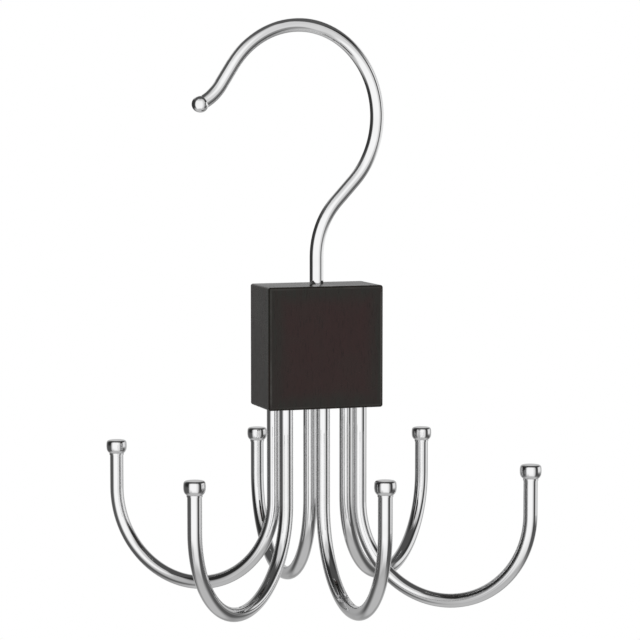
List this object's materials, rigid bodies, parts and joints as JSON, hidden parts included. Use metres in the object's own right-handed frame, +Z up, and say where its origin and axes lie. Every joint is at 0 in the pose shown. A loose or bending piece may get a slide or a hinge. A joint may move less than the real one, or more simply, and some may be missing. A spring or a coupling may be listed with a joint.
{
  "type": "tie hanger",
  "caption": "Hanging organizer for ties: a wire hook swivels in a dark wood block that carries two fans of J-shaped chromed hooks with capped tips.",
  "frame": {"origin": "rod seat: the underside of the top hook's crown, where it rests on a rod", "axes": "+Z up, +X in the plane of the top hook and away from its ball tip, +Y along the rod"},
  "size_m": [0.1494, 0.1524, 0.2095],
  "materials": {
    "hook_chrome": "polished chrome plate on bent steel wire",
    "cap_chrome": "polished chrome plate on turned caps",
    "washer_steel": "zinc plated, dull",
    "dark_wood": "dark espresso stain under satin lacquer"
  },
  "bodies": {
    "top_hook": {"swivel_hook": "hook_chrome", "hook_ball": "hook_chrome", "swivel_washer": "washer_steel"},
    "carrier": {"wood_block": "dark_wood", "tie_hook_front_left": "hook_chrome", "tie_hook_front_middle": "hook_chrome", "tie_hook_front_right": "hook_chrome", "tie_hook_rear_left": "hook_chrome", "tie_hook_rear_middle": "hook_chrome", "tie_hook_rear_right": "hook_chrome", "end_cap_front_left": "cap_chrome", "end_cap_front_middle": "cap_chrome", "end_cap_front_right": "cap_chrome", "end_cap_rear_left": "cap_chrome", "end_cap_rear_middle": "cap_chrome", "end_cap_rear_right": "cap_chrome"}
  },
  "joints": [
    {"name": "block_swivel", "type": "hinge", "parent": "top_hook", "child": "carrier", "pos_m": [0.00711, 0, -0.09021], "axis": [0, 0, 1], "continuous": true}
  ]
}
